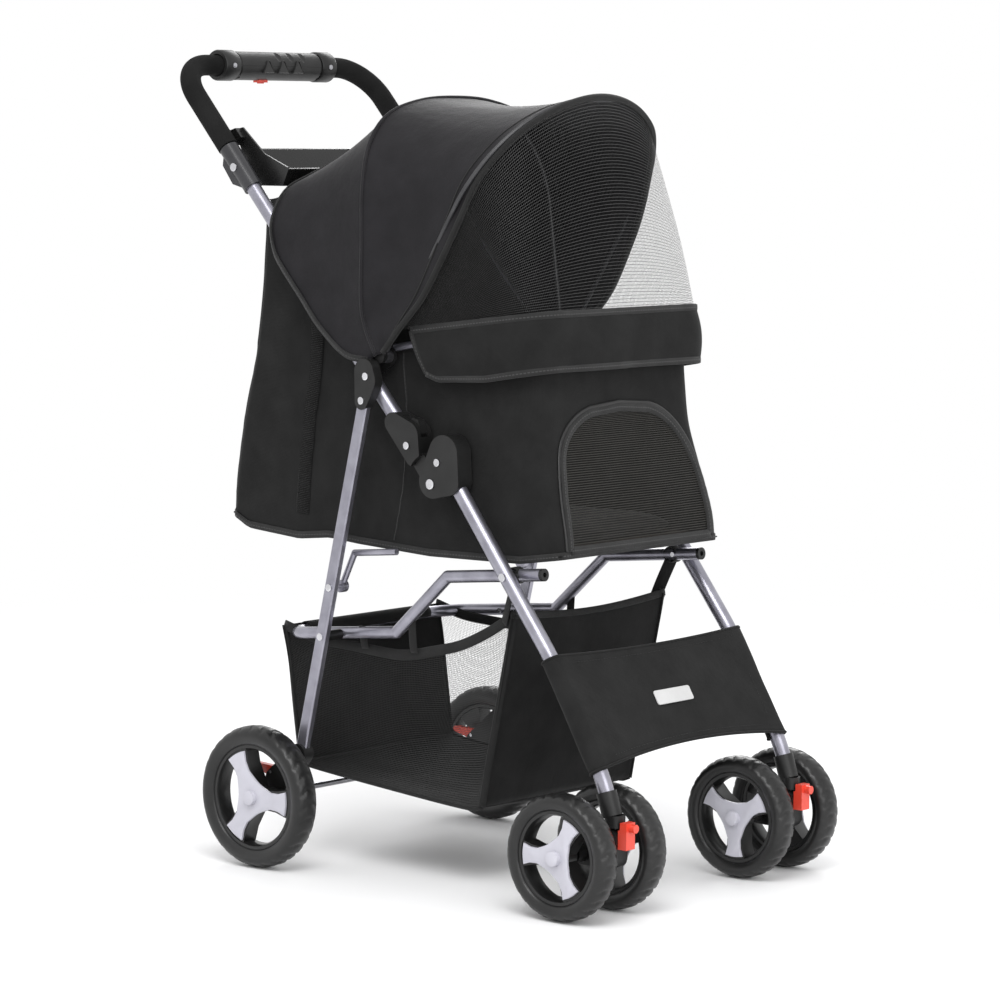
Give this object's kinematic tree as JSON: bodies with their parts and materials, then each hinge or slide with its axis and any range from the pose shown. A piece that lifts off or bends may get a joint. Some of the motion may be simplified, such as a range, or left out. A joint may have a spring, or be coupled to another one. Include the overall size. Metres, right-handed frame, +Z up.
{
  "type": "pet stroller",
  "caption": "Folding pet stroller with a fabric cabin, hooped canopy with a net window, storage basket, twin swivel casters in front and braked wheels behind.",
  "frame": {"origin": "on the floor below the middle of the bounding box", "axes": "+X across to the left hand of the person pushing, +Y back towards that person, +Z up"},
  "size_m": [0.4716, 0.755, 0.9948],
  "materials": {
    "tube": "satin silver-lavender powder coat",
    "bright": "bright zinc-plated steel",
    "steel": "drawn steel",
    "wire": "black coated steel rod",
    "black_plastic": "black moulded nylon",
    "tray_plastic": "black moulded plastic",
    "sleeve": "dark pearl plastic",
    "foam": "black foam grip",
    "fabric": "black woven polyester",
    "canopy_fabric": "black woven polyester with a slight sheen",
    "net": "black net",
    "board": "hardboard",
    "tyre": "black foam tyre",
    "trim": "pale grey plastic",
    "red": "red plastic"
  },
  "bodies": {
    "chassis": {"front_leg_left": "tube", "front_leg_right": "tube", "latch_lowers": "black_plastic", "caster_sockets": "black_plastic", "front_rivets": "bright", "valance": "fabric"},
    "handle_frame": {"handle_tube": "tube", "side_tubes": "tube", "handle_sleeves": "sleeve", "handle_grips": "foam", "console_top": "black_plastic", "console_base": "black_plastic", "tray": "tray_plastic", "latch_upper_left": "black_plastic", "latch_upper_right": "black_plastic", "canopy_clamps": "black_plastic", "frame_screws": "bright", "rim_hoop": "tube", "cabin_shell": "fabric", "cabin_board": "board", "cabin_cushion": "fabric", "front_flap": "fabric", "canopy_cover": "canopy_fabric", "mesh_window": "net"},
    "console_button": {"release_button": "red"},
    "catch_left": {"latch_catch_left": "black_plastic"},
    "catch_right": {"latch_catch_right": "black_plastic"},
    "canopy_front": {"canopy_front_hoop": "wire"},
    "canopy_middle": {"canopy_mid_hoop": "wire"},
    "cabin_door": {"front_door": "net"},
    "rail_frame": {"lower_rail": "tube", "rail_fittings": "black_plastic", "basket": "fabric"},
    "rear_frame": {"rear_leg_left": "tube", "rear_leg_right": "tube", "leg_caps": "black_plastic", "rear_rivets": "bright", "seat_rods": "wire", "rear_axle": "steel", "brake_housings": "black_plastic"},
    "brake_left": {"brake_pedal_left": "red"},
    "brake_right": {"brake_pedal_right": "red"},
    "rear_wheel_left": {"rear_tyre_left": "tyre", "rear_spider_left": "trim"},
    "rear_wheel_right": {"rear_tyre_right": "tyre", "rear_spider_right": "trim"},
    "caster_left": {"caster_housing_left": "black_plastic", "front_axle_left": "steel"},
    "caster_right": {"caster_housing_right": "black_plastic", "front_axle_right": "steel"},
    "lock_left": {"caster_lock_left": "red"},
    "lock_right": {"caster_lock_right": "red"},
    "front_wheel_left_outer": {"front_tyre_left_outer": "tyre", "front_spider_left_outer": "trim"},
    "front_wheel_left_inner": {"front_tyre_left_inner": "tyre", "front_spider_left_inner": "trim"},
    "front_wheel_right_outer": {"front_tyre_right_outer": "tyre", "front_spider_right_outer": "trim"},
    "front_wheel_right_inner": {"front_tyre_right_inner": "tyre", "front_spider_right_inner": "trim"}
  },
  "joints": [
    {"name": "frame_fold", "type": "hinge", "parent": "chassis", "child": "handle_frame", "pos_m": [0, -0.078, 0.484], "axis": [-1, 0, 0], "range_deg": [0, 110], "deforming": ["cabin_shell", "cabin_board", "cabin_cushion", "front_flap", "canopy_cover", "mesh_window", "front_door"]},
    {"name": "rail_fold", "type": "hinge", "parent": "chassis", "child": "rail_frame", "pos_m": [0, -0.187, 0.382], "axis": [-1, 0, 0], "range_deg": [0, 71.5], "deforming": ["basket"]},
    {"name": "rear_leg_fold", "type": "hinge", "parent": "rail_frame", "child": "rear_frame", "pos_m": [0, 0.091, 0.288], "axis": [-1, 0, 0], "range_deg": [-22.5, 0]},
    {"name": "canopy_front_fold", "type": "hinge", "parent": "handle_frame", "child": "canopy_front", "pos_m": [0, 0.008, 0.63], "axis": [-1, 0, 0], "range_deg": [0, 50]},
    {"name": "canopy_middle_fold", "type": "hinge", "parent": "handle_frame", "child": "canopy_middle", "pos_m": [0, 0.008, 0.63], "axis": [-1, 0, 0], "range_deg": [0, 15]},
    {"name": "door_open", "type": "hinge", "parent": "handle_frame", "child": "cabin_door", "pos_m": [0, -0.2456, 0.4194], "axis": [1, 0, 0], "range_deg": [0, 100]},
    {"name": "catch_left_slide", "type": "slide", "parent": "handle_frame", "child": "catch_left", "axis": [0, 0.66, 0.7513], "range_m": [0, 0.008], "stiffness_N_per_m": 400},
    {"name": "catch_right_slide", "type": "slide", "parent": "handle_frame", "child": "catch_right", "axis": [0, 0.66, 0.7513], "range_m": [0, 0.008], "stiffness_N_per_m": 400},
    {"name": "button_press", "type": "slide", "parent": "handle_frame", "child": "console_button", "axis": [0, 0, 1], "range_m": [0, 0.003], "stiffness_N_per_m": 400},
    {"name": "brake_left_press", "type": "hinge", "parent": "rear_frame", "child": "brake_left", "pos_m": [0, 0.171, 0.114], "axis": [-1, 0, 0], "range_deg": [0, 18]},
    {"name": "rear_wheel_left_spin", "type": "hinge", "parent": "rear_frame", "child": "rear_wheel_left", "pos_m": [0.218, 0.169, 0.087], "axis": [1, 0, 0], "continuous": true},
    {"name": "caster_left_swivel", "type": "hinge", "parent": "chassis", "child": "caster_left", "pos_m": [0.17, -0.349, 0.08], "axis": [0, 0, 1], "continuous": true},
    {"name": "lock_left_slide", "type": "slide", "parent": "caster_left", "child": "lock_left", "axis": [0, 0, -1], "range_m": [0, 0.006]},
    {"name": "front_wheel_left_outer_spin", "type": "hinge", "parent": "caster_left", "child": "front_wheel_left_outer", "pos_m": [0.215, -0.308, 0.074], "axis": [1, 0, 0], "continuous": true},
    {"name": "front_wheel_left_inner_spin", "type": "hinge", "parent": "caster_left", "child": "front_wheel_left_inner", "pos_m": [0.125, -0.308, 0.074], "axis": [1, 0, 0], "continuous": true},
    {"name": "brake_right_press", "type": "hinge", "parent": "rear_frame", "child": "brake_right", "pos_m": [0, 0.171, 0.114], "axis": [-1, 0, 0], "range_deg": [0, 18]},
    {"name": "rear_wheel_right_spin", "type": "hinge", "parent": "rear_frame", "child": "rear_wheel_right", "pos_m": [-0.218, 0.169, 0.087], "axis": [1, 0, 0], "continuous": true},
    {"name": "caster_right_swivel", "type": "hinge", "parent": "chassis", "child": "caster_right", "pos_m": [-0.17, -0.349, 0.08], "axis": [0, 0, 1], "continuous": true},
    {"name": "lock_right_slide", "type": "slide", "parent": "caster_right", "child": "lock_right", "axis": [0, 0, -1], "range_m": [0, 0.006]},
    {"name": "front_wheel_right_outer_spin", "type": "hinge", "parent": "caster_right", "child": "front_wheel_right_outer", "pos_m": [-0.215, -0.308, 0.074], "axis": [1, 0, 0], "continuous": true},
    {"name": "front_wheel_right_inner_spin", "type": "hinge", "parent": "caster_right", "child": "front_wheel_right_inner", "pos_m": [-0.125, -0.308, 0.074], "axis": [1, 0, 0], "continuous": true}
  ],
  "couplings": [
    {"joint": "rail_fold", "follows": "frame_fold", "ratio": 0.64882},
    {"joint": "rear_leg_fold", "follows": "frame_fold", "ratio": -0.20109},
    {"joint": "canopy_middle_fold", "follows": "canopy_front_fold", "ratio": 0.28}
  ]
}
